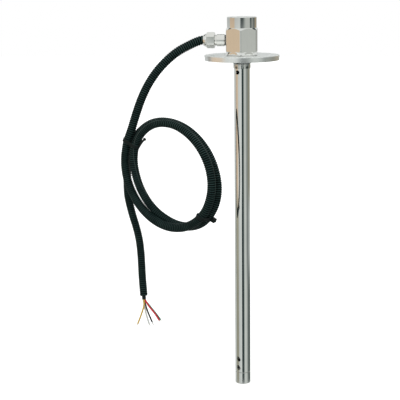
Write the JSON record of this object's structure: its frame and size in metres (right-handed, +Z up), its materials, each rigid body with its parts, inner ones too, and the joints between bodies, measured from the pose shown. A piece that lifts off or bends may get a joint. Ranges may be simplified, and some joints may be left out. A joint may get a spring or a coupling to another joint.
{
  "type": "fuel level sensor",
  "caption": "Capacitive fuel level sensor: flanged probe tube, hexagonal head, cable gland and a coiled lead in corrugated conduit.",
  "frame": {"origin": "centre of the flange's underside, the face that seats on the tank", "axes": "+Z up along the probe's axis, out of the tank; the probe hangs along -Z; the cable gland points along -X; the cable hangs to the -X side as in the picture"},
  "size_m": [0.1642, 0.0862, 0.3828],
  "materials": {
    "turned_steel": "turned stainless steel, satin with fine circular marks",
    "polished_steel": "stainless steel, ground and polished",
    "nickel_plate": "nickel-plated brass, bright",
    "brass": "plain turned brass",
    "tinned_copper": "tinned copper, soft shine",
    "white_insulator": "white fluoropolymer, waxy",
    "seal_rubber": "black nitrile rubber",
    "board_laminate": "green solder mask",
    "chip_resin": "black moulded resin",
    "terminal_plastic": "moulded green plastic",
    "capacitor_can": "drawn aluminium can",
    "conduit_plastic": "black corrugated polyamide, faint sheen",
    "sheath_plastic": "black cable jacket",
    "tie_nylon": "black nylon",
    "yellow_insulation": "yellow wire insulation",
    "red_insulation": "red wire insulation",
    "green_insulation": "green wire insulation",
    "black_insulation": "black wire insulation",
    "white_insulation": "white wire insulation"
  },
  "bodies": {
    "root": {"flange": "turned_steel", "probe_collar": "polished_steel", "outer_tube": "polished_steel", "end_cap": "polished_steel", "inner_electrode": "polished_steel", "electrode_end_bush": "white_insulator", "electrode_bushing": "white_insulator", "bushing_o_ring": "seal_rubber", "spacer_1": "white_insulator", "spacer_2": "white_insulator", "spacer_3": "white_insulator", "contact_lug": "tinned_copper", "stud_nut": "nickel_plate", "signal_wire": "tinned_copper", "head_housing": "polished_steel", "head_cover": "polished_steel", "cover_o_ring": "seal_rubber", "circuit_board": "board_laminate", "board_post_1": "brass", "board_post_2": "brass", "board_post_3": "brass", "terminal_block": "terminal_plastic", "sensor_chip": "chip_resin", "voltage_regulator": "chip_resin", "filter_capacitor": "capacitor_can", "gland_body": "nickel_plate", "gland_washer": "seal_rubber", "gland_seal": "seal_rubber", "gland_nut": "nickel_plate", "inner_cable": "sheath_plastic", "conduit_lead": "conduit_plastic", "conduit_coil": "conduit_plastic", "conduit_tail": "conduit_plastic", "cable_end": "sheath_plastic", "wire_yellow": "yellow_insulation", "wire_red": "red_insulation", "wire_green": "green_insulation", "wire_black": "black_insulation", "wire_white": "white_insulation", "cable_tie_upper": "tie_nylon", "cable_tie_lower": "tie_nylon"}
  },
  "joints": []
}
